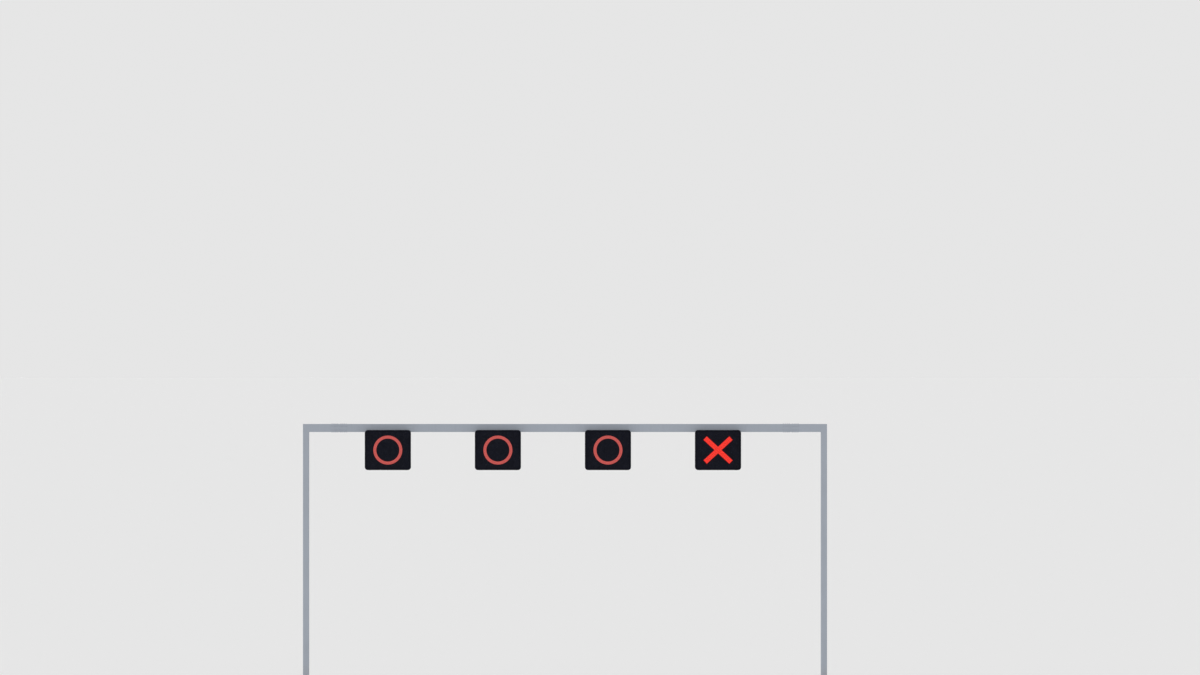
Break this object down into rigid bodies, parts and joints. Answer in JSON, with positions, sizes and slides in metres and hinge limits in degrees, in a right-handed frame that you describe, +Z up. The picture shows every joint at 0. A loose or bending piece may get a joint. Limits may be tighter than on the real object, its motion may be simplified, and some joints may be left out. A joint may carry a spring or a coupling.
{
  "type": "overhead sign gantry",
  "caption": "Steel portal over a road with dark lamp matrix signs hung under its beam, showing red rings and a red cross over the lanes.",
  "frame": {"origin": "centre of the left base plate's underside, on the foundation; left is as a driver facing the signs sees it", "axes": "+X along the beam from the left post to the right one, +Y the way the traffic goes, so that the signs face -Y, +Z up"},
  "size_m": [17.69, 0.865, 8.7],
  "materials": {
    "frame_steel": "satin",
    "bracket_steel": "satin",
    "case_black": "satin",
    "face_black": "matte",
    "ring_lamps": "gloss",
    "cross_lamps": "gloss",
    "conduit_black": "matte"
  },
  "bodies": {
    "root": {"left_beam_end_cap": "frame_steel", "left_knee_beam": "frame_steel", "left_splice_plates": "frame_steel", "main_beam": "frame_steel", "right_splice_plates": "frame_steel", "right_knee_beam": "frame_steel", "right_beam_end_cap": "frame_steel", "left_base_plate": "frame_steel", "left_base_ribs": "frame_steel", "left_post": "frame_steel", "left_hand_hole_cover": "frame_steel", "right_base_plate": "frame_steel", "right_base_ribs": "frame_steel", "right_post": "frame_steel", "right_hand_hole_cover": "frame_steel", "sign_1_case": "case_black", "sign_1_face": "face_black", "sign_1_ring": "ring_lamps", "sign_1_door": "case_black", "sign_1_rails": "bracket_steel", "sign_1_hangers": "bracket_steel", "sign_1_conduit": "conduit_black", "sign_2_case": "case_black", "sign_2_face": "face_black", "sign_2_ring": "ring_lamps", "sign_2_door": "case_black", "sign_2_rails": "bracket_steel", "sign_2_hangers": "bracket_steel", "sign_2_conduit": "conduit_black", "sign_3_case": "case_black", "sign_3_face": "face_black", "sign_3_ring": "ring_lamps", "sign_3_door": "case_black", "sign_3_rails": "bracket_steel", "sign_3_hangers": "bracket_steel", "sign_3_conduit": "conduit_black", "sign_4_case": "case_black", "sign_4_face": "face_black", "sign_4_cross": "cross_lamps", "sign_4_door": "case_black", "sign_4_rails": "bracket_steel", "sign_4_hangers": "bracket_steel", "sign_4_conduit": "conduit_black"}
  },
  "joints": []
}
